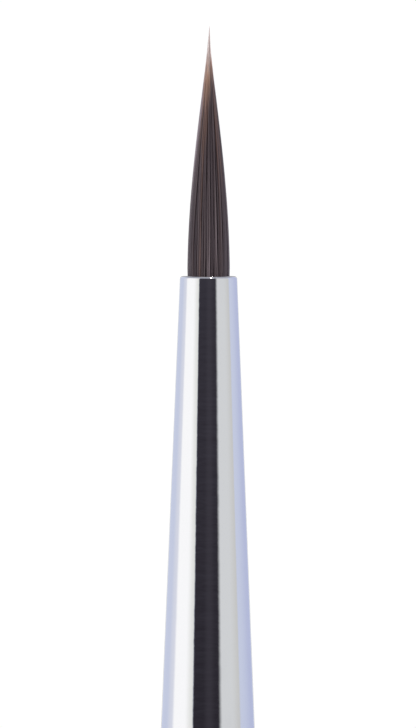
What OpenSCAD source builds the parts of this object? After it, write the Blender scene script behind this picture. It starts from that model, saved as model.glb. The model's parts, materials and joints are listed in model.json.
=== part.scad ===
// Fine detail brush: a pointed tuft in a polished conical ferrule, crimped on a turned wooden handle.
// Millimetres. The axis is Z, the tail of the handle stands at the origin and the hair points up.

/* [Hair] */
// Diameter of the hair where it leaves the ferrule
hair_d = 1.6; // [1.3:0.1:1.6]
// Length of hair outside the ferrule
hair_out = 9.5; // [8.5:0.5:12]
// Length of hair held inside the ferrule
hair_in = 9; // [8:0.5:10]
// How far up the hair its belly stays full
belly_power = 1.9; // [1.7:0.1:2.4]
// How hollow the hair runs out to its point
point_power = 1.5; // [1.3:0.1:1.8]
// Diameter of the binding thread
thread_d = 0.16; // [0.1:0.02:0.16]
// Turns of thread round the hair
thread_turns = 3.5; // [2.5:0.5:4]

/* [Ferrule] */
// Length of the conical front of the ferrule
cone_len = 25; // [22:1:27]
// Length of the parallel skirt behind the cone
skirt_len = 8; // [8:0.5:10]
// Outer diameter at the mouth
mouth_d = 2.18; // [2.14:0.02:2.4]
// Outer diameter of the skirt
skirt_d = 4.2; // [4.1:0.1:4.6]
// Thickness of the drawn brass wall
wall_t = 0.29; // [0.26:0.01:0.3]
// Depth of each rolled crimp
crimp_depth = 0.24; // [0.15:0.01:0.28]
// Width of each rolled crimp
crimp_w = 1.1; // [0.8:0.1:1.3]

/* [Handle] */
// Length of the handle behind the ferrule
handle_len = 128; // [115:1:140]
// Diameter of the handle at the ferrule's edge
nose_d = 4.36; // [4.3:0.02:4.8]
// Diameter of the handle at its grip
grip_d = 6.8; // [6:0.1:8]
// Length of the parallel grip
grip_len = 10; // [8:1:14]
// Length of the neck between the grip and the ferrule
neck_len = 24; // [20:1:30]
// Diameter of the handle at its tail
tail_d = 3.2; // [2.8:0.1:4]
// Length of the tenon inside the ferrule
tenon_len = 12; // [11:0.5:13]
// Length of the tail that is dipped in lacquer
dip_len = 15; // [10:1:25]

/* [Hidden] */

$fn = 96;                                 // facets that OpenSCAD draws on a full turn
varnish_t = 0.08;                         // clear coat over all of the turned wood
dip_t = 0.12;                             // coloured lacquer over the varnish at the tail
glue_t = 0.06;                            // film between the tenon and the ferrule
touch = 0.005;                            // gap that keeps nested pieces from sharing volume

hair_r = hair_d / 2;
mouth_r = mouth_d / 2;
skirt_r = skirt_d / 2;
bore_r = skirt_r - wall_t;                // inside of the skirt
ferrule_len = cone_len + skirt_len;
mouth_z = handle_len + ferrule_len;       // height of the ferrule's mouth

lip_r = 0.38 * (mouth_r - hair_r);        // rounding of the ferrule's rim, inside and out
throat_len = 0.8;                         // parallel bore that grips the hair behind the rim
bore_slope = (bore_r - hair_r) / (cone_len - throat_len);
crimp_places = [2.1, 4.1];                // middle of each crimp above the ferrule's rear edge
crimp_steps = 10;                         // chords that draw one crimp

bend_heights = [1.2, 2.9, 4.4, 5.9];      // bend points of the tuft above the mouth
socket_gap = 0.01;                        // least play around each spherical bend point
socket_share = 1.07;                      // radius of a socket over that of the hair there
rim_share = 0.6;                          // drop of a socket's rim below its bend point, over that radius
tip_r = 0.012;                            // radius at the very point of the hair
hair_steps = 32;                          // chords over the length of the exposed hair
arc_step = 9;                             // degrees between the points of a drawn arc

epoxy_top = 3.5;                          // depth below the mouth where the potting resin starts
epoxy_below = 1.5;                        // resin under the butt ends of the hair
thread_depth = 7.2;                       // depth below the mouth of the lowest turn of thread
thread_pitch = thread_d * 1.06;
thread_rings = 16;                        // rings of the swept thread in each turn
thread_sides = 6;

end_r = tail_d / 2 - varnish_t;           // round end of the bare wood, and the taper that starts there
end_z = end_r + varnish_t + dip_t;        // height of that end's centre
neck_z = handle_len - neck_len;
grip_z = neck_z - grip_len;
swell = grip_d / 2 - varnish_t - end_r;   // growth of the radius from the tail to the grip
swell_power = 1.6;                        // how early along the taper it happens
taper_steps = 24;                         // chords that draw the taper
neck_steps = 20;                          // chords that draw the neck
tenon_chamfer = 0.4;

// Points on an arc of radius r round [x, z], from angle a0 to a1
function arc(x, z, r, a0, a1) =
    let (n = max(1, ceil(abs(a1 - a0) / arc_step)))
    [for (i = [0 : n]) let (a = a0 + (a1 - a0) * i / n) [max(0, x + r * cos(a)), z + r * sin(a)]];

function reversed(points) = [for (i = [len(points) - 1 : -1 : 0]) points[i]];

module turned(points) rotate_extrude() polygon(points);

// ---- ferrule ----

// Radius of the bore at a depth below the mouth
function bore_at(depth) =
    depth < throat_len ? hair_r : min(bore_r, hair_r + bore_slope * (depth - throat_len));

// One side of the crimped skirt at radius r, from the ferrule's rear edge up to the foot of the cone
function crimped(r) = concat(
    [[r, handle_len]],
    [for (place = crimp_places, k = [0 : crimp_steps])
        [r - crimp_depth * pow(sin(180 * k / crimp_steps), 2),
         handle_len + place + crimp_w * (k / crimp_steps - 0.5)]],
    [[r, handle_len + skirt_len]]);

module ferrule() {
    outside = concat(crimped(skirt_r), arc(mouth_r - lip_r, mouth_z - lip_r, lip_r, 0, 90));
    inside = concat(
        arc(hair_r + lip_r, mouth_z - lip_r, lip_r, 90, 180),
        [[hair_r, mouth_z - throat_len]],
        reversed(crimped(bore_r)));
    color("silver") turned(concat(outside, inside));
}

// ---- hair: one bundle, cut into short lengths so that it can bend ----

function hair_at(height) =
    max(tip_r, hair_r * pow(max(0, 1 - pow(height / hair_out, belly_power)), point_power));

// Height of the rim of the socket at a bend point
function rim_at(height) = height - rim_share * hair_at(height);

// Outside of the bundle between two heights above the mouth
function hair_side(low, high) =
    let (n = max(2, round((high - low) / hair_out * hair_steps)))
    [for (i = [0 : n]) let (h = low + (high - low) * i / n) [hair_at(h), mouth_z + h]];

// Round lower end of a length, centred on its bend point
function knuckle(height) = arc(0, mouth_z + height, hair_at(height), -90, -arc_step);

// Hollow upper end of a length, in which the next knuckle turns
function socket(height) =
    let (r = hair_at(height) * socket_share + socket_gap)
    arc(0, mouth_z + height, r, -asin((height - rim_at(height)) / r), -90);

module hair_color() color("#3b2f30") children();

module tuft_root() {
    foot = mouth_z - hair_in;
    grip = hair_r - touch;
    first = bend_heights[0];
    hair_color() turned(concat(
        [[0, foot], [grip, foot], [grip, mouth_z]],
        hair_side(0, rim_at(first)),
        socket(first)));
}

module tuft_length(i) {
    low = bend_heights[i];
    high = bend_heights[i + 1];
    hair_color() turned(concat(knuckle(low), hair_side(low, rim_at(high)), socket(high)));
}

module tuft_heel() tuft_length(0);
module tuft_belly() tuft_length(1);
module tuft_shoulder() tuft_length(2);

module tuft_point() {
    last = bend_heights[len(bend_heights) - 1];
    hair_color() turned(concat(knuckle(last), hair_side(last, hair_out), [[0, mouth_z + hair_out]]));
}

// ---- what holds the hair ----

// Thread wound on the hair: a tube of thread_sides swept along a helix
module binding_thread() {
    rings = thread_turns * thread_rings;
    radius = hair_r + thread_d / 2 + touch;
    rise = thread_pitch / (2 * PI * radius);
    foot = mouth_z - thread_depth;
    tube = [for (i = [0 : rings], s = [0 : thread_sides - 1])
        let (
            turn = 360 * i / thread_rings,
            around = 360 * s / thread_sides,
            out = [cos(turn), sin(turn), 0],
            side = [rise * sin(turn), -rise * cos(turn), 1] / sqrt(1 + rise * rise)
        )
        radius * out + [0, 0, foot + thread_pitch * i / thread_rings]
            + thread_d / 2 * (cos(around) * out + sin(around) * side)];
    walls = [for (i = [0 : rings - 1], s = [0 : thread_sides - 1])
        let (a = i * thread_sides + s, b = i * thread_sides + (s + 1) % thread_sides)
        [a, b, b + thread_sides, a + thread_sides]];
    ends = [
        [for (s = [thread_sides - 1 : -1 : 0]) s],
        [for (s = [0 : thread_sides - 1]) rings * thread_sides + s]
    ];
    color("ivory") polyhedron(tube, concat(walls, ends));
}

// Resin that pots the butt ends, with a pocket that the thread lies in
module root_epoxy() {
    depth = hair_in + epoxy_below;
    foot = mouth_z - depth;
    top = mouth_z - epoxy_top;
    pocket_r = hair_r + thread_d + 3 * touch;
    pocket_low = mouth_z - thread_depth - thread_d;
    pocket_high = mouth_z - thread_depth + thread_turns * thread_pitch + thread_d;
    color("goldenrod") turned([
        [0, foot],
        [bore_at(depth) - touch, foot],
        [bore_at(epoxy_top) - touch, top],
        [hair_r, top],
        [hair_r, pocket_high],
        [pocket_r, pocket_high],
        [pocket_r, pocket_low],
        [hair_r, pocket_low],
        [hair_r, mouth_z - hair_in - touch],
        [0, mouth_z - hair_in - touch]
    ]);
}

// ---- handle ----

// Side of the tenon inset from the bore, crimped with the skirt and then narrowing with the cone
function tenon_side(inset) = concat(
    crimped(bore_r - inset),
    [[bore_at(ferrule_len - tenon_len) - inset, handle_len + tenon_len]]);

module tenon_glue() {
    color("khaki") turned(concat(tenon_side(touch), reversed(tenon_side(glue_t))));
}

// Radius of the bare wood at a height: a taper that fills out, the parallel grip, then the neck
function wood_at(z) =
    z < grip_z
        ? end_r + swell * (1 - pow(1 - (z - end_z) / (grip_z - end_z), swell_power))
        : end_r + swell - (grip_d - nose_d) / 4 * (1 - cos(180 * max(0, z - neck_z) / neck_len));

wood_heights = concat(
    [for (i = [1 : taper_steps]) end_z + (grip_z - end_z) * i / taper_steps],
    [for (i = [0 : neck_steps]) neck_z + neck_len * i / neck_steps]);

// Outside of the handle grown by coat, from the end of the tail up to a height
function handle_side(coat, top) = concat(
    arc(0, end_z, end_r + coat, -90, 0),
    [for (z = wood_heights) if (z < top - touch) [wood_at(z) + coat, z]],
    [[wood_at(top) + coat, top]]);

module handle_core() {
    top = handle_len + tenon_len;
    top_r = bore_at(ferrule_len - tenon_len) - glue_t - touch;
    color("burlywood") turned(concat(
        handle_side(0, handle_len),
        crimped(bore_r - glue_t - touch),
        [[top_r, top - tenon_chamfer], [top_r - tenon_chamfer, top], [0, top]]));
}

module clear_varnish() {
    color("sienna") turned(concat(
        handle_side(varnish_t, handle_len),
        reversed(handle_side(touch, handle_len))));
}

module tail_dip_coat() {
    outside = handle_side(varnish_t + dip_t, dip_len);
    inside = handle_side(varnish_t + touch, dip_len);
    bead_r = (dip_t - touch) / 2;
    bead = arc(wood_at(dip_len) + varnish_t + dip_t - bead_r, dip_len, bead_r, arc_step, 180 - arc_step);
    color("#241a1c") turned(concat(outside, bead, reversed(inside)));
}

clear_varnish();
handle_core();
tail_dip_coat();
tenon_glue();
ferrule();
root_epoxy();
binding_thread();
tuft_root();
tuft_heel();
tuft_belly();
tuft_shoulder();
tuft_point();
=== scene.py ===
"""Fine detail brush: a pointed tuft of tapered filaments in a polished ferrule on a varnished handle.

Metres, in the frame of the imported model: the brush stands on its tail along Z, hair upwards.
"""

import json
import math

import bpy
import numpy as np
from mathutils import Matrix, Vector


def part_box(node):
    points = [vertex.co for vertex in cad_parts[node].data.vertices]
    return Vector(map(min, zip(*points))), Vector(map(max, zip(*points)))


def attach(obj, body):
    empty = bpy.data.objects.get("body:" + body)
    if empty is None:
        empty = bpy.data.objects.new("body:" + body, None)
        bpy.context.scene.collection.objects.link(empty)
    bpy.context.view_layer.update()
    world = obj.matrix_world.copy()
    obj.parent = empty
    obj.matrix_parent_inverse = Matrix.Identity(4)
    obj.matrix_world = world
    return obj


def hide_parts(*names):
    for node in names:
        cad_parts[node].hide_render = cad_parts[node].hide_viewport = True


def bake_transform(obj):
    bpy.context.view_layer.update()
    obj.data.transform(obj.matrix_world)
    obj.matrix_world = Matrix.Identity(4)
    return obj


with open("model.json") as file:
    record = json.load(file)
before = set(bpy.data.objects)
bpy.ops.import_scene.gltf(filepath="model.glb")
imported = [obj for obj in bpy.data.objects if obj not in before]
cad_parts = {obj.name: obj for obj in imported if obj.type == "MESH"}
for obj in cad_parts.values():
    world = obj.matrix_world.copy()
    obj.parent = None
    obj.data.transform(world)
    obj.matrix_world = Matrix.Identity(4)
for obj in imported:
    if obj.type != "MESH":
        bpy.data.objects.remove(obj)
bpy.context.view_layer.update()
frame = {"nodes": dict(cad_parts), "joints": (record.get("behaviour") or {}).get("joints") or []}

MM = 0.001
TURN = 2 * math.pi
SHARP_EDGE = math.radians(75)  # faces that meet at more than this keep a hard edge

# ---- sizes, from the frame where it has them ----

ferrule_low, ferrule_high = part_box("ferrule")
mouth_z = ferrule_high.z
ferrule_z = ferrule_low.z
skirt_r = ferrule_high.x
hair_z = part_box("tuft_root")[0].z
tip_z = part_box("tuft_point")[1].z
hair_out = tip_z - mouth_z
grip_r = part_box("clear_varnish")[1].x
bends = [joint["pos_m"][2] for joint in frame["joints"]]

HAIR_R = 0.8 * MM            # bundle at the mouth, and the bore that grips it
MOUTH_R = 1.09 * MM
WALL = 0.29 * MM             # drawn tube of the ferrule
LIP_R = 0.11 * MM
THROAT = 0.8 * MM            # parallel bore behind the lip
SKIRT = 8 * MM
CRIMPS = (2.1 * MM, 4.1 * MM)
CRIMP_W = 1.1 * MM
CRIMP_DEPTH = 0.24 * MM
CRIMP_RISE = 0.012 * MM      # shoulder that rolling a crimp raises on each side of it
SHOULDER_PLACE = 0.62 * CRIMP_W
SHOULDER_W = 0.12 * CRIMP_W
EDGE_R = 0.05 * MM           # rounding of the rear edge
FERRULE_SIDES = 160
SKIRT_STEPS = 220            # points of the outline along the skirt and along the cone
CONE_STEPS = 60

TAIL_R = 1.6 * MM            # handle, over its varnish
NOSE_R = 2.18 * MM
NECK = 24 * MM
GRIP = 10 * MM
SWELL_POWER = 1.6
VARNISH = 0.08 * MM
DIP = 0.12 * MM
DIP_LEN = 15 * MM
TOUCH = 0.005 * MM           # gap between nested pieces
VARNISH_EDGE = 0.06 * MM     # rounding where the varnish ends
DIP_EDGE = 0.11 * MM         # bead where the dip ends
HANDLE_SIDES = 128
COAT_STEPS = 200             # points of the outline along the wood

BELLY_POWER = 1.9            # outline of the tuft
POINT_POWER = 1.42
TIP_R = 0.010 * MM           # added to the outline at the very tip
TIP_LEAN = 0.02 * MM         # how far the point stands to the right
STRAND_D = 0.062 * MM        # one filament at the root
STRAND_TIP = 0.3             # its share of that at the tip of the tuft
STRAND_RINGS = 12            # rings of filaments, from the outside in
STRAND_SIDES = 6
RING_PITCH = 0.94            # distance between rings over the diameter of a filament
RUNOUT = 1.3 * MM            # stretch over which a filament thins to its end
LONGEST = 9                  # filaments that make the very tip
TIP_STAGGER = 0.038          # share of the free length over which those end
STUB = 0.05 * MM             # a shorter stretch of a filament is left out
HOLD = (-0.5 * MM, 1.5 * MM)  # heights from the mouth over which the ferrule's hold fades out
SPREAD = (-0.1 * MM, 0.3 * MM)  # heights over which the bundle spreads as it leaves the ferrule
GOLDEN = 0.6180339887        # golden section: steps by it leave even gaps
PALE_SIDE = math.radians(250)  # direction, from +X, in which the tuft fades lowest down
BEND_LOW = 0.35 * MM         # the tuft's bend ranges, listed in blends, run between these heights above the mouth; the script bends no piece
BEND_HIGH = 7.4 * MM

THREAD_D = 0.16 * MM
THREAD_TURNS = 3.5
THREAD_DEPTH = 7.2 * MM
THREAD_PITCH = 1.06 * THREAD_D
THREAD_STEPS = 90            # rings of points in a turn
TWIST = 0.42 * MM            # length of thread in which its plies go once round each other


# ---- meshes ----

def add_piece(name, points, faces, material, **attributes):
    """A mesh object from points and faces, smooth except at square edges.

    Each attribute is a float for every point.
    """
    mesh = bpy.data.meshes.new(name)
    mesh.from_pydata(points.tolist(), [], faces)
    for key, values in attributes.items():
        mesh.attributes.new(key, "FLOAT", "POINT").data.foreach_set("value", values.astype(np.float32))
    mesh.shade_smooth()
    mesh.set_sharp_from_angle(angle=SHARP_EDGE)
    mesh.materials.append(material)
    piece = bpy.data.objects.new(name, mesh)
    bpy.context.scene.collection.objects.link(piece)
    return piece


def grid_quads(rows, columns, close_rows=False):
    """Faces of a grid whose columns close on themselves; the last row meets the first if close_rows."""
    row = np.arange(rows if close_rows else rows - 1)[:, None]
    column = np.arange(columns)[None, :]
    up = (row + 1) % rows
    beside = (column + 1) % columns
    low, high = row * columns, up * columns
    corners = [low + column, low + beside, high + beside, high + column]
    return np.stack(corners, axis=-1).reshape(-1, 4)


def turned(profile, sides):
    """Revolves an outline of (radius, height) about Z: (r cos a, r sin a, z), with a over a full turn.

    An outline that starts and ends on the axis closes in two poles; any other closes on itself.
    The outside of the outline runs upwards.
    """
    poles = profile[0, 0] == 0
    rings = profile[1:-1] if poles else profile
    angle = TURN * np.arange(sides) / sides
    radius = rings[:, 0][:, None]
    height = np.broadcast_to(rings[:, 1][:, None], (len(rings), sides))
    points = np.stack([radius * np.cos(angle), radius * np.sin(angle), height], axis=-1).reshape(-1, 3)
    faces = grid_quads(len(rings), sides, close_rows=not poles).tolist()
    if poles:
        first = np.arange(sides)
        beside = (first + 1) % sides
        last = first + (len(rings) - 1) * sides
        foot, top = len(points), len(points) + 1
        points = np.vstack([points, [0, 0, profile[0, 1]], [0, 0, profile[-1, 1]]])
        faces += np.stack([np.full(sides, foot), beside, first], axis=1).tolist()
        faces += np.stack([last, beside + last[0], np.full(sides, top)], axis=1).tolist()
    return points, faces


def arc(x, z, r, start, end, steps):
    """Points of an outline on an arc round (x, z), between two angles in degrees."""
    angle = np.radians(np.linspace(start, end, steps))
    return np.stack([x + r * np.cos(angle), z + r * np.sin(angle)], axis=1)


def swept(centre, side, up, radius, sides):
    """Tubes along paths: centre + r (cos a side + sin a up), closed by a flat cap at each end.

    centre, side and up have the shape (tubes, rings, 3) and radius (tubes, rings).
    """
    tubes, rings = centre.shape[:2]
    angle = TURN * np.arange(sides) / sides
    circle = np.cos(angle)[:, None] * side[:, :, None, :] + np.sin(angle)[:, None] * up[:, :, None, :]
    points = centre[:, :, None, :] + radius[:, :, None, None] * circle
    first = np.arange(tubes)[:, None, None] * rings * sides
    quads = (first + grid_quads(rings, sides)).reshape(-1, 4)
    foot = (first + np.arange(sides)[::-1]).reshape(-1, sides)
    end = (first + np.arange(sides) + (rings - 1) * sides).reshape(-1, sides)
    return points.reshape(-1, 3), quads.tolist() + foot.tolist() + end.tolist()


# ---- shaders ----

class Socket:
    """An output of a node. Arithmetic on it adds Math nodes, so shader maths reads as a formula."""

    def __init__(self, graph, output):
        self.graph = graph
        self.output = output

    def _math(self, operation, *terms):
        return self.graph.add("ShaderNodeMath", {"operation": operation}, dict(enumerate(terms)))

    def __add__(self, other):
        return self._math("ADD", self, other)

    def __sub__(self, other):
        return self._math("SUBTRACT", self, other)

    def __rsub__(self, other):
        return self._math("SUBTRACT", other, self)

    def __mul__(self, other):
        return self._math("MULTIPLY", self, other)

    def __pow__(self, other):
        return self._math("POWER", self, other)

    __radd__ = __add__
    __rmul__ = __mul__

    def eased(self, start, end):
        """0 before start, 1 after end, smooth between them."""
        settings = {"interpolation_type": "SMOOTHSTEP"}
        values = {"Value": self, "From Min": start, "From Max": end}
        return self.graph.add("ShaderNodeMapRange", settings, values)

    def arctan2(self, other):
        return self._math("ARCTAN2", self, other)


class Graph:
    """The nodes of one material or world."""

    def __init__(self, owner):
        owner.use_nodes = True
        self.tree = owner.node_tree
        self.tree.nodes.clear()

    def add(self, kind, settings=None, values=None, out=0):
        """Adds a node with its settings and its sockets' values or links, and returns one output."""
        node = self.tree.nodes.new(kind)
        for key, value in (settings or {}).items():
            if key == "stops":
                set_stops(node.color_ramp, value)
            else:
                setattr(node, key, value)
        for key, value in (values or {}).items():
            if isinstance(value, Socket):
                self.tree.links.new(value.output, node.inputs[key])
            else:
                node.inputs[key].default_value = value
        return Socket(self, node.outputs[out]) if node.outputs else None

    def mix(self, factor, a, b):
        """Colour a turning into colour b."""
        return self.add("ShaderNodeMix", {"data_type": "RGBA"}, {0: factor, 6: a, 7: b}, out=2)

    def attribute(self, name):
        return self.add("ShaderNodeAttribute", {"attribute_name": name}, out="Fac")

    def place(self, stretch):
        """Object coordinates in millimetres, each axis multiplied by stretch."""
        position = self.add("ShaderNodeTexCoord", out="Object")
        scale = tuple(s / MM for s in stretch)
        return self.add("ShaderNodeVectorMath", {"operation": "MULTIPLY"}, {0: position, 1: scale})

    def noise(self, where, scale, detail=2.0, rough=0.5):
        return self.add("ShaderNodeTexNoise", None, {
            "Vector": where, "Scale": scale, "Detail": detail, "Roughness": rough})

    def bump(self, height, distance):
        return self.add("ShaderNodeBump", None, {
            "Height": height, "Distance": distance, "Strength": 1.0})

    def surface(self, values):
        shader = self.add("ShaderNodeBsdfPrincipled", None, values)
        self.add("ShaderNodeOutputMaterial", None, {"Surface": shader})


def set_stops(ramp, stops):
    """Gives a colour ramp its stops, as (position, colour) pairs."""
    while len(ramp.elements) < len(stops):
        ramp.elements.new(0.5)
    for element, (position, colour) in zip(ramp.elements, stops):
        element.position = position
        element.color = colour


def rgb(r, g, b):
    """A colour given in 0-255 display values, as the linear colour that shaders use."""
    channel = np.array([r, g, b]) / 255
    linear = np.where(channel <= 0.04045, channel / 12.92, ((channel + 0.055) / 1.055) ** 2.4)
    return (*linear.tolist(), 1.0)


def new_material(name):
    material = bpy.data.materials.new(name)
    return material, Graph(material)


def polished_plate():
    """Bright nickel plate over drawn brass, whose wall is very slightly wavy.

    On it are hair-fine polishing rings, drawing lines along the tube and faint wipe marks.
    """
    material, g = new_material("polished_plate")
    rings = g.noise(g.place((0.15, 0.15, 22)), 1.0, 3.0, 0.6)
    lines = g.noise(g.place((9, 9, 0.05)), 1.0, 2.0)
    wipes = g.noise(g.place((0.5, 0.5, 0.22)), 1.0, 4.0, 0.62)
    haze = wipes.eased(0.5, 0.78)
    wander = g.noise(g.place((1.1, 1.1, 3.2)), 1.0, 2.0)
    height = rings * 0.6 + lines * 0.4 + wander * 8
    g.surface({
        "Base Color": g.mix(haze * 0.5, rgb(243, 243, 245), rgb(232, 232, 236)),
        "Metallic": 1.0,
        "Roughness": 0.035 + haze * 0.05 + rings * 0.03,
        "Normal": g.bump(height, 0.0006 * MM),
    })
    return material


def tuft_filament():
    """Dyed synthetic filament: mauve-grey, streaked by lock and by strand, pale tan where it ends. Its
    lightness also carries a painted sheen, pale and cool, on the left edge.
    """
    material, g = new_material("tuft_filament")
    # tone is the lightness of locks and strands, with the painted sheen of the left edge in it; warmth
    # is cooled there too
    tone = g.attribute("tone")
    warmth = g.attribute("warmth")
    rise = g.attribute("rise")
    draw = g.attribute("draw")
    along = g.add("ShaderNodeCombineXYZ", None, {"X": draw * 90, "Z": rise * 7})
    streak = g.noise(along, 1.0, 3.0, 0.55)
    light = tone * 0.9 + draw * 0.12 + streak * 0.2 - 0.1
    dyed = g.add("ShaderNodeValToRGB", {"stops": [
        (0.15, rgb(63, 52, 58)),
        (0.45, rgb(68, 57, 62)),
        (0.70, rgb(94, 82, 86)),
        # the palest stop is lavender for the painted sheen on the left edge, and for the palest streaks
        (0.95, rgb(150, 136, 144)),
    ]}, {"Fac": light})
    brown = g.mix(warmth.eased(0.66, 1.0) * 0.42, dyed, rgb(124, 90, 74))
    fading = rise + streak * 0.10 + draw * 0.08 - 0.04
    tan = g.mix(warmth, rgb(160, 136, 135), rgb(182, 144, 124))
    faded = g.mix(fading.eased(0.75, 0.93), brown, tan)
    g.surface({
        "Base Color": g.mix(fading.eased(0.87, 1.0), faded, rgb(220, 204, 202)),
        "Roughness": 0.42 + streak * 0.16,
        "Specular IOR Level": 0.45,
    })
    return material


def varnished_wood():
    """Fine straight-grained hardwood, stained red-brown, under a clear glossy coat."""
    material, g = new_material("varnished_wood")
    wave = g.noise(g.place((0.12, 0.12, 0.012)), 1.0, 2.0)
    bend = g.add("ShaderNodeVectorMath", {"operation": "ADD"}, {
        0: g.place((1.1, 1.1, 0.035)),
        1: g.add("ShaderNodeCombineXYZ", None, {"X": wave * 2.2, "Y": wave * 1.3}),
    })
    grain = g.noise(bend, 1.6, 5.0, 0.62)
    pores = g.noise(g.place((6.5, 6.5, 0.42)), 1.0, 3.0, 0.5)
    pore = pores.eased(0.60, 0.72)
    tone = g.add("ShaderNodeValToRGB", {"stops": [
        (0.28, rgb(104, 55, 28)),
        (0.46, rgb(139, 80, 42)),
        (0.60, rgb(160, 98, 54)),
        (0.78, rgb(184, 121, 71)),
    ]}, {"Fac": grain})
    g.surface({
        "Base Color": g.mix(pore * 0.55, tone, rgb(74, 38, 20)),
        "Roughness": 0.42 - grain * 0.1,
        "Normal": g.bump(g.noise(g.place((0.8, 0.8, 0.16)), 1.0, 3.0), 0.01 * MM),
        "Coat Weight": 1.0,
        "Coat Roughness": 0.06,
    })
    return material


def bare_wood():
    """The turned core: the same wood, unstained and sanded, with fine tool rings."""
    material, g = new_material("bare_wood")
    grain = g.noise(g.place((1.6, 1.6, 0.05)), 1.4, 5.0, 0.6)
    rings = g.noise(g.place((0.05, 0.05, 5)), 1.0, 2.0)
    g.surface({
        "Base Color": g.mix(grain, rgb(158, 112, 72), rgb(214, 176, 130)),
        "Roughness": 0.62 + grain * 0.2,
        "Normal": g.bump(rings + grain, 0.01 * MM),
    })
    return material


def dip_lacquer():
    """Thick dark lacquer with a slow sag in its surface and a few specks of dust under it."""
    material, g = new_material("dip_lacquer")
    cloud = g.noise(g.place((0.5, 0.5, 0.3)), 1.0, 4.0)
    dust = g.noise(g.place((5, 5, 5)), 1.0, 2.0).eased(0.70, 0.76)
    g.surface({
        "Base Color": g.mix(cloud, rgb(26, 20, 26), rgb(46, 34, 42)),
        "Roughness": 0.10 + cloud * 0.10 + dust * 0.2,
        "Normal": g.bump(cloud + dust * 0.3, 0.012 * MM),
        "Coat Weight": 1.0,
        "Coat Roughness": 0.04,
    })
    return material


def waxed_thread():
    """Waxed linen twist: fine fibres that lie along the plies, with painted shade in the hollows."""
    material, g = new_material("waxed_thread")
    fibre = g.noise(g.place((9, 9, 40)), 1.0, 3.0, 0.6)
    stain = g.noise(g.place((1.5, 1.5, 1.5)), 1.0, 2.0)
    g.surface({
        # painted shade: the fibre noise that sinks the bump also darkens the colour in its hollows
        "Base Color": g.mix(fibre * 0.6 + stain * 0.4, rgb(176, 158, 122), rgb(232, 222, 196)),
        "Roughness": 0.55 + fibre * 0.3,
        "Normal": g.bump(fibre, 0.006 * MM),
        "Sheen Weight": 0.25,
    })
    return material


def amber_resin():
    """Cured potting resin, honey-coloured, with fine bubbles near its surface."""
    material, g = new_material("amber_resin")
    cloud = g.noise(g.place((0.7, 0.7, 0.7)), 1.0, 3.0)
    bubbles = g.noise(g.place((6, 6, 6)), 1.0, 1.0).eased(0.66, 0.72)
    g.surface({
        "Base Color": g.mix(cloud, rgb(156, 98, 32), rgb(214, 158, 72)),
        "Roughness": 0.16 + bubbles * 0.3 + cloud * 0.08,
        "Normal": g.bump(cloud - bubbles * 0.5, 0.01 * MM),
        "Subsurface Weight": 0.2,
        "Subsurface Scale": 0.3 * MM,
    })
    return material


def glue_film():
    """Dried hide-coloured glue, dragged into streaks when the tenon was pressed in."""
    material, g = new_material("glue_film")
    drag = g.noise(g.place((2.6, 2.6, 0.3)), 1.0, 4.0)
    g.surface({
        "Base Color": g.mix(drag, rgb(182, 150, 98), rgb(222, 200, 150)),
        "Roughness": 0.30 + drag * 0.3,
        "Normal": g.bump(drag, 0.02 * MM),
    })
    return material


def pale_floor():
    """Matt off-white board with slow, faint clouds."""
    material, g = new_material("pale_floor")
    cloud = g.noise(g.place((0.01, 0.01, 0.01)), 1.0, 3.0)
    g.surface({
        "Base Color": g.mix(cloud, rgb(246, 245, 243), rgb(252, 251, 249)),
        "Roughness": 0.75,
    })
    return material


# ---- the ferrule ----

def crimped(r):
    """Side of the skirt at radius r, upwards: each crimp is a trough of sin^2 between two shoulders."""
    z = np.linspace(0, SKIRT, SKIRT_STEPS)
    trough = np.zeros_like(z)
    for middle in CRIMPS:
        x = np.clip((z - middle) / CRIMP_W + 0.5, 0, 1)
        trough += CRIMP_DEPTH * np.sin(np.pi * x) ** 2
        off_shoulder = (abs(z - middle) - SHOULDER_PLACE) / SHOULDER_W
        trough -= CRIMP_RISE * np.exp(-(off_shoulder ** 2))
    return np.stack([r - trough, ferrule_z + z], axis=1)


def ferrule_outline():
    """Closed outline of the tube: crimped skirt, straight cone, rolled lip, and back down the inside."""
    bore_r = skirt_r - WALL
    cone_z = ferrule_z + SKIRT
    share = np.linspace(0, 1, CONE_STEPS)[1:-1]
    cone = np.stack([
        skirt_r + (MOUTH_R - skirt_r) * share,
        cone_z + (mouth_z - LIP_R - cone_z) * share,
    ], axis=1)
    inner = np.stack([
        HAIR_R + (bore_r - HAIR_R) * share,
        mouth_z - THROAT + (cone_z - mouth_z + THROAT) * share,
    ], axis=1)
    return np.vstack([
        arc(skirt_r - EDGE_R, ferrule_z + EDGE_R, EDGE_R, -90, 0, 6),
        crimped(skirt_r)[2:],
        cone,
        arc(MOUTH_R - LIP_R, mouth_z - LIP_R, LIP_R, 0, 90, 14),
        arc(HAIR_R + LIP_R, mouth_z - LIP_R, LIP_R, 90, 180, 14),
        [[HAIR_R, mouth_z - THROAT]],
        inner,
        crimped(bore_r)[::-1],
    ])


ferrule = add_piece("ferrule_shell", *turned(ferrule_outline(), FERRULE_SIDES), polished_plate())
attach(ferrule, "handle")
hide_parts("ferrule")


# ---- the handle ----

neck_z = ferrule_z - NECK
grip_z = neck_z - GRIP
end_r = TAIL_R - VARNISH
end_z = end_r + VARNISH + DIP


def wood_at(z):
    """Radius of the bare wood: a taper that grows as 1 - (1 - s)^1.6, the grip, then a cosine neck."""
    swell = grip_r - VARNISH - end_r
    share = np.clip((z - end_z) / (grip_z - end_z), 0, 1)
    taper = end_r + swell * (1 - (1 - share) ** SWELL_POWER)
    neck = np.clip((z - neck_z) / NECK, 0, 1)
    return taper - (grip_r - NOSE_R) / 2 * (1 - np.cos(np.pi * neck))


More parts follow.
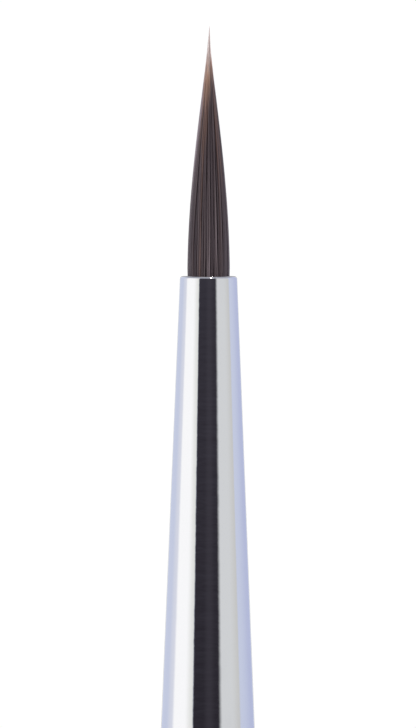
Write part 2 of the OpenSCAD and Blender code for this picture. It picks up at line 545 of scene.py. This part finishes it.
def coat_outline(inside, outside, top, edge):
    """Outline of a coat between two offsets from the wood, up to a rounded edge and back inside."""
    z = np.linspace(end_z, top - edge, COAT_STEPS)[1:]
    outer = np.stack([wood_at(z) + outside, z], axis=1)
    inner = np.stack([wood_at(z) + inside, z], axis=1)[::-1]
    rim = (wood_at(np.array(top)) + outside - edge, top - edge)
    pole = end_r + np.array([outside, inside])
    return np.vstack([
        [[0, end_z - pole[0]]],
        arc(0, end_z, pole[0], -90, 0, 24)[1:],
        outer,
        arc(*rim, edge, 0, 90, 8)[1:],
        [[wood_at(np.array(top)) + inside, top]],
        inner,
        arc(0, end_z, pole[1], 0, -90, 24)[1:-1],
        [[0, end_z - pole[1]]],
    ])


handle = add_piece(
    "varnished_handle",
    *turned(coat_outline(TOUCH, VARNISH, ferrule_z - TOUCH, VARNISH_EDGE), HANDLE_SIDES),
    varnished_wood())
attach(handle, "handle")
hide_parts("clear_varnish")

dip = add_piece(
    "dipped_tail",
    *turned(coat_outline(VARNISH + TOUCH, VARNISH + DIP, DIP_LEN, DIP_EDGE), HANDLE_SIDES),
    dip_lacquer())
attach(dip, "handle")
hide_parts("tail_dip_coat")


# ---- the tuft ----

def ease(x, start, end):
    """0 before start, 1 after end, and the smooth cubic 3t^2 - 2t^3 between them."""
    t = np.clip((x - start) / (end - start), 0, 1)
    return t * t * (3 - 2 * t)


def tuft_at(share):
    """Radius of the tuft at a share s of its free length: R (1 - s^1.9)^1.42, plus TIP_R at the tip."""
    outline = HAIR_R * np.maximum(0, 1 - np.maximum(share, 0) ** BELLY_POWER) ** POINT_POWER
    return outline + TIP_R * ease(share, 0.86, 0.95)


def strand_at(share):
    """Diameter of a filament there: D (1 - (1 - t) s^1.5), with t its share of D at the tip."""
    return STRAND_D * (1 - (1 - STRAND_TIP) * np.maximum(share, 0) ** 1.5)


def ring_at(ring, share):
    """Radius of the given ring of filaments, each ring one filament further in."""
    return tuft_at(share) - (ring + 0.5) * strand_at(share) * RING_PITCH


def planted_strands():
    """Root ring, root angle and end of every filament, with its two colour draws.

    At each height a ring keeps the share of its filaments that still fits side by side. Steps by the
    golden section choose which end, so those that go on stay spread round the tuft. The few longest
    end one after the other just below the tip.
    """
    rng = np.random.default_rng(11)
    shares = np.linspace(0, 1, 800)
    rows = []
    for ring in range(STRAND_RINGS):
        root_r = ring_at(ring, 0.0)
        count = int(TURN * root_r / STRAND_D)
        room = ring_at(ring, shares) / root_r * STRAND_D / strand_at(shares)
        place = np.arange(count)
        turn = (place * GOLDEN + rng.random()) % 1
        end = np.interp(-turn, -room, shares)
        angle = TURN * (place + 0.5 + rng.uniform(-0.3, 0.3, count)) / count + rng.random() * TURN
        tone, warmth = rng.random(count), rng.random(count)
        rows.append(np.stack([np.full(count, ring), angle, end, tone, warmth], axis=1))
    strands = np.vstack(rows)
    longest = np.argsort(strands[:, 2])[-LONGEST:]
    strands[longest, 2] = 1 - TIP_STAGGER * np.linspace(1, 0, LONGEST) ** 1.5
    return strands.T


def waves(angle, height, seed, turns, falling=0.0):
    """Mean of waves round the tuft that drift with height: sin(n a + start + drift h) / n^falling."""
    rng = np.random.default_rng(seed)
    total = 0
    for count in turns:
        start, drift = rng.uniform(0, TURN), rng.uniform(-2.5, 2.5)
        total = total + np.sin(count * angle + start + drift * height) / count ** falling
    return total / len(turns)


def strand_looks(angle, around, share, middle, tone, warmth):
    """Lightness, warmth and fading along every filament.

    Waves round the tuft colour whole locks. Over them lie patches, each the product of a smooth rise
    with height and a smooth rise towards one direction, in degrees from +X, so the front is 270. The
    pale, cool patch on the left edge is a painted sheen of the light from that side.
    """
    def patch(degrees, start, low, high):
        return ease(share, low, high) * ease(np.cos(around - math.radians(degrees)), start, 1)

    # painted sheen: the left edge is made paler here and cooler below, as if lit by the softbox on that
    # side
    painted_sheen_edge = patch(184, 0.72, 0.15, 0.85)
    dark_front = patch(278, 0.70, 0.30, 0.50)
    painted_sheen_cool = patch(182, 0.80, 0.20, 0.45)
    brown_side = patch(240, 0.75, 0.40, 0.70)
    brown_streak = patch(322, 0.96, 0.20, 0.50)
    brown_point = patch(265, 0.70, 0.70, 0.85)
    late_edge = patch(335, 0.40, 0.50, 0.75) * (1 - ease(share, 0.82, 0.90))

    clump = 0.5 + (0.62 - 0.34 * middle) * waves(angle, share, 8, (7, 12, 19, 29))
    lightness_and_sheen = 0.2 * tone + 0.8 * clump + 0.2 * ease(share, 0.5, 0.8)
    # the painted sheen on the left edge is added to the lightness
    lightness_and_sheen = lightness_and_sheen + painted_sheen_edge - 0.12 * dark_front
    heat = 0.5 * warmth + 0.22 + 0.36 * waves(angle, share, 9, (5, 11, 17))
    # the painted sheen also turns the left edge cooler
    heat = heat + 0.55 * brown_side + 0.3 * brown_streak - 0.5 * painted_sheen_cool + 0.5 * brown_point
    fade = share + 0.05 * np.cos(around - PALE_SIDE) - 0.055 * late_edge
    return np.clip(lightness_and_sheen, 0, 1), np.clip(heat, 0, 1), fade


strand_ring, strand_angle, strand_end, strand_tone, strand_warmth = planted_strands()


def tuft_length(name, low, high, rings, material):
    """The stretch of every filament between two heights above the mouth.

    A filament follows its ring of the tuft's outline. Waves gather the filaments into locks with
    shallow grooves between them, and each filament wanders a little on its own. Its last stretch
    thins to a point and sinks under its neighbours, but the longest stay stout. The bundle spreads a
    little as it leaves the ferrule, and its last tenth stands a trace to the right.
    """
    end = strand_end * hair_out
    here = end > low + STUB
    end, ring, angle = end[here][:, None], strand_ring[here][:, None], strand_angle[here][:, None]
    tone, warmth = strand_tone[here][:, None], strand_warmth[here][:, None]
    top = np.minimum(end, high)
    height = low + (top - low) * rings[None, :]
    share = height / hair_out
    left = (end - height) / RUNOUT
    thin = np.clip(left, 0.02, 1) ** 0.55
    stout = np.clip(left * 3, 0.45, 1)
    reaches_tip = end > 0.97 * hair_out
    width = strand_at(share) * np.where(reaches_tip, stout, thin)
    free = ease(height, *HOLD)
    lock = waves(angle, share, 5, (5, 9, 13, 19), falling=1.0) * 0.4
    groove = waves(angle, share, 6, (9, 14, 22, 31))
    bloom = 0.2 * ease(height, *SPREAD) * width
    own = 0.03 * np.sin(6 * share + 40 * tone) * (0.3 + warmth)
    around = angle + free * (lock + own) + 0.05 * share
    middle = ease(share, 0.15, 0.45)
    groove_depth = np.maximum(groove, 0) * (0.12 - 0.06 * middle)
    sink = free * (groove_depth + (1 - thin) * 0.4 + 0.06 * tone) * width
    radius = np.maximum(tuft_at(share) - (ring + 0.5) * width * RING_PITCH + bloom - sink, 0)
    radius = np.maximum(np.minimum(radius, ring_at(ring, share) + 0.3 * width), 0.5 * width)
    aside = TIP_LEAN * ease(share, 0.9, 1)
    x, y = radius * np.cos(around) + aside, radius * np.sin(around)
    centre = np.stack([x, y, mouth_z + height], axis=-1)
    along = np.gradient(centre, axis=1)
    along /= np.linalg.norm(along, axis=-1, keepdims=True)
    out = np.stack([np.cos(around), np.sin(around), np.zeros_like(around)], axis=-1)
    side = np.cross(along, out)
    side /= np.linalg.norm(side, axis=-1, keepdims=True)
    up = np.cross(along, side)
    points, faces = swept(centre, side, up, width / 2, STRAND_SIDES)
    lightness_and_sheen, heat, fade = strand_looks(angle, around, share, middle, tone, warmth)

    def by_point(values):
        """Values along the filaments, repeated round every ring of points."""
        on_rings = np.broadcast_to(values, height.shape)[:, :, None]
        return np.repeat(on_rings, STRAND_SIDES, axis=2).ravel()

    return add_piece(
        name, points, faces, material,
        tone=by_point(lightness_and_sheen), warmth=by_point(heat), rise=by_point(fade), draw=by_point(tone))


filament = tuft_filament()
heights = [bend - mouth_z for bend in bends]
cuts = [(a + b) / 2 for a, b in zip(heights, heights[1:])]
root_rings = np.append([hair_z - mouth_z, -0.4 * MM], np.linspace(0, cuts[0], 7))
root_shares = (root_rings - root_rings[0]) / (cuts[0] - root_rings[0])
even = np.linspace(0, 1, 8)
lengths = [
    ("hair_to_heel", hair_z - mouth_z, cuts[0], root_shares),
    ("hair_to_belly", cuts[0], cuts[1], even),
    ("hair_to_shoulder", cuts[1], cuts[2], even),
    ("hair_to_point", cuts[2], hair_out, np.linspace(0, 1, 14)),
]
bodies = ["handle", "heel", "belly", "shoulder", "point"]
stood_for = [("tuft_root", "tuft_heel"), ("tuft_belly",), ("tuft_shoulder",), ("tuft_point",)]
blends = [(BEND_LOW, cuts[0]), (cuts[0], cuts[1]), (cuts[1], cuts[2]), (cuts[2], BEND_HIGH)]
for i, (name, low, high, rings) in enumerate(lengths):
    hair = tuft_length(name, low, high, rings, filament)
    start, end = [(0, 0, mouth_z + z) for z in blends[i]]
    bodies[i + 1]
    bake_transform(hair)
    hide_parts(*stood_for[i])


# ---- thread, resin, glue and the core ----

def wound_thread():
    """Two plies twisted round each other: each ply's centre circles a helix as the helix climbs."""
    steps = np.linspace(0, 1, int(THREAD_STEPS * THREAD_TURNS))
    turn = TURN * THREAD_TURNS * steps
    helix_r = HAIR_R + THREAD_D / 2 + TOUCH
    out = np.stack([np.cos(turn), np.sin(turn), np.zeros_like(turn)], axis=-1)
    middle = helix_r * out
    middle[:, 2] = mouth_z - THREAD_DEPTH + THREAD_PITCH * turn / TURN
    along = np.gradient(middle, axis=0)
    along /= np.linalg.norm(along, axis=-1, keepdims=True)
    up = np.cross(along, out)
    twist = turn * helix_r / TWIST * TURN
    twist = twist[None, :, None] + np.array([0, math.pi])[:, None, None]
    ply = THREAD_D / 4
    centre = middle + ply * (np.cos(twist) * out + np.sin(twist) * up)
    shape = centre.shape
    radius = np.full(shape[:2], ply)
    return swept(centre, np.broadcast_to(up, shape), np.broadcast_to(out, shape), radius, 8)


thread = add_piece("wound_thread", *wound_thread(), waxed_thread())
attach(thread, "handle")
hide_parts("binding_thread")

for node, material in (
    ("root_epoxy", amber_resin()),
    ("tenon_glue", glue_film()),
    ("handle_core", bare_wood()),
):
    for material_slot in frame["nodes"][node].material_slots:
        material_slot.material = material


# ---- floor, light and camera ----

def add_floor():
    """A plain pale sheet under the tail."""
    half = 1.2
    corners = half * np.array([[-1, -1, 0], [1, -1, 0], [1, 1, 0], [-1, 1, 0]])
    floor = add_piece("floor", corners, [[0, 1, 2, 3]], pale_floor())
    floor.visible_glossy = False


def studio_world():
    """A white room with a tall softbox on each side and, between them in front, a dark gap.

    Behind the brush two white panels leave a grey slit. Above it is a ceiling, white but dim in
    reflections. Seen directly, the room is plain white. Azimuth is in degrees from -Y towards +X, and
    band is 1 between its two azimuths.
    """
    world = bpy.data.worlds.new("studio")
    bpy.context.scene.world = world
    g = Graph(world)
    direction = g.add("ShaderNodeTexCoord", out="Generated")
    parts = g.add("ShaderNodeSeparateXYZ", None, {0: direction})
    x, y, z = [Socket(g, parts.output.node.outputs[i]) for i in range(3)]
    azimuth = x.arctan2(y * -1) * (360 / TURN)
    behind = (azimuth ** 2) ** 0.5

    def band(start, end, soft_start, soft_end):
        return azimuth.eased(start - soft_start, start + soft_start) * (
            1 - azimuth.eased(end - soft_end, end + soft_end))

    # walls beside and behind the brush: cool grey-blue, paler on the left
    backdrop = g.mix(azimuth.eased(90, 145), rgb(204, 211, 232), rgb(187, 194, 224))
    backdrop = g.mix(band(-115, -60, 12, 1), backdrop, rgb(220, 223, 235))
    # softboxes left and right of the lens, and the gap, which is lighter above and in the middle
    left_box = g.mix(azimuth.eased(-62, -39.5), (1.04, 1.04, 1.04, 1.0), rgb(233, 234, 230))
    right_box = g.mix(azimuth.eased(60, 95), rgb(216, 218, 219), rgb(204, 204, 201))
    gap = g.mix((z + 0.05).eased(0.0, 0.15), rgb(42, 39, 46), rgb(56, 54, 62))
    gap = g.mix(band(-6, 13, 8, 8) * 0.4, gap, rgb(70, 67, 75))
    # all of it in its place, with the panels and the slit behind
    room = g.mix(band(-97, -38, 6, 0.1), backdrop, left_box)
    room = g.mix(band(22, 88.5, 3, 3), room, right_box)
    room = g.mix(band(-38.0, 31.3, 2.6, 5.6), room, gap)
    room = g.mix(behind.eased(160, 164), room, (1.0, 1.0, 1.0, 1.0))
    room = g.mix(behind.eased(168, 172), room, rgb(92, 92, 102))
    # the ceiling, and plain white for what is seen directly
    white = (1.02, 1.02, 1.02, 1.0)
    mirrored = g.add("ShaderNodeLightPath", out="Is Glossy Ray")
    ceiling = g.mix(mirrored, white, rgb(164, 166, 176))
    room = g.mix(z.eased(0.42, 0.74), room, ceiling)
    seen = g.add("ShaderNodeLightPath", out="Is Camera Ray")
    colour = g.mix(seen, room, white)
    light = g.add("ShaderNodeBackground", None, {"Color": colour, "Strength": 1.0})
    g.add("ShaderNodeOutputWorld", None, {"Surface": light})


def add_softbox(name, place, size, watts, colour):
    """A square soft lamp that looks at the mouth of the ferrule and isn't seen itself."""
    lamp = bpy.data.lights.new(name, "AREA")
    lamp.shape = "SQUARE"
    lamp.size = size
    lamp.energy = watts
    lamp.color = colour
    box = bpy.data.objects.new(name, lamp)
    box.location = place
    towards = Vector((0, 0, mouth_z)) - box.location
    box.rotation_euler = towards.to_track_quat("-Z", "Y").to_euler()
    box.visible_camera = False
    bpy.context.scene.collection.objects.link(box)


def add_camera():
    """A long lens in front of the tuft, a little above level, with a trace of roll."""
    lens = 300
    view_height = 27.7 * MM
    target_z = mouth_z - 3.34 * MM
    tilt = math.radians(1.5)
    lean = math.radians(0.09)
    aside = 0.026 * MM
    data = bpy.data.cameras.new("camera")
    data.lens = lens
    away = view_height * lens / data.sensor_width
    camera = bpy.data.objects.new("camera", data)
    camera.location = (-aside, -away * math.cos(tilt), target_z + away * math.sin(tilt))
    camera.rotation_euler = (math.pi / 2 - tilt, -lean, 0)
    data.clip_start = 0.01
    bpy.context.scene.collection.objects.link(camera)
    bpy.context.scene.camera = camera


add_floor()
studio_world()
add_softbox("top_light", (0.065, -0.25, 0.62), 0.06, 1.6, (1.0, 0.99, 0.97))
add_camera()
bpy.context.scene.view_settings.view_transform = "Standard"
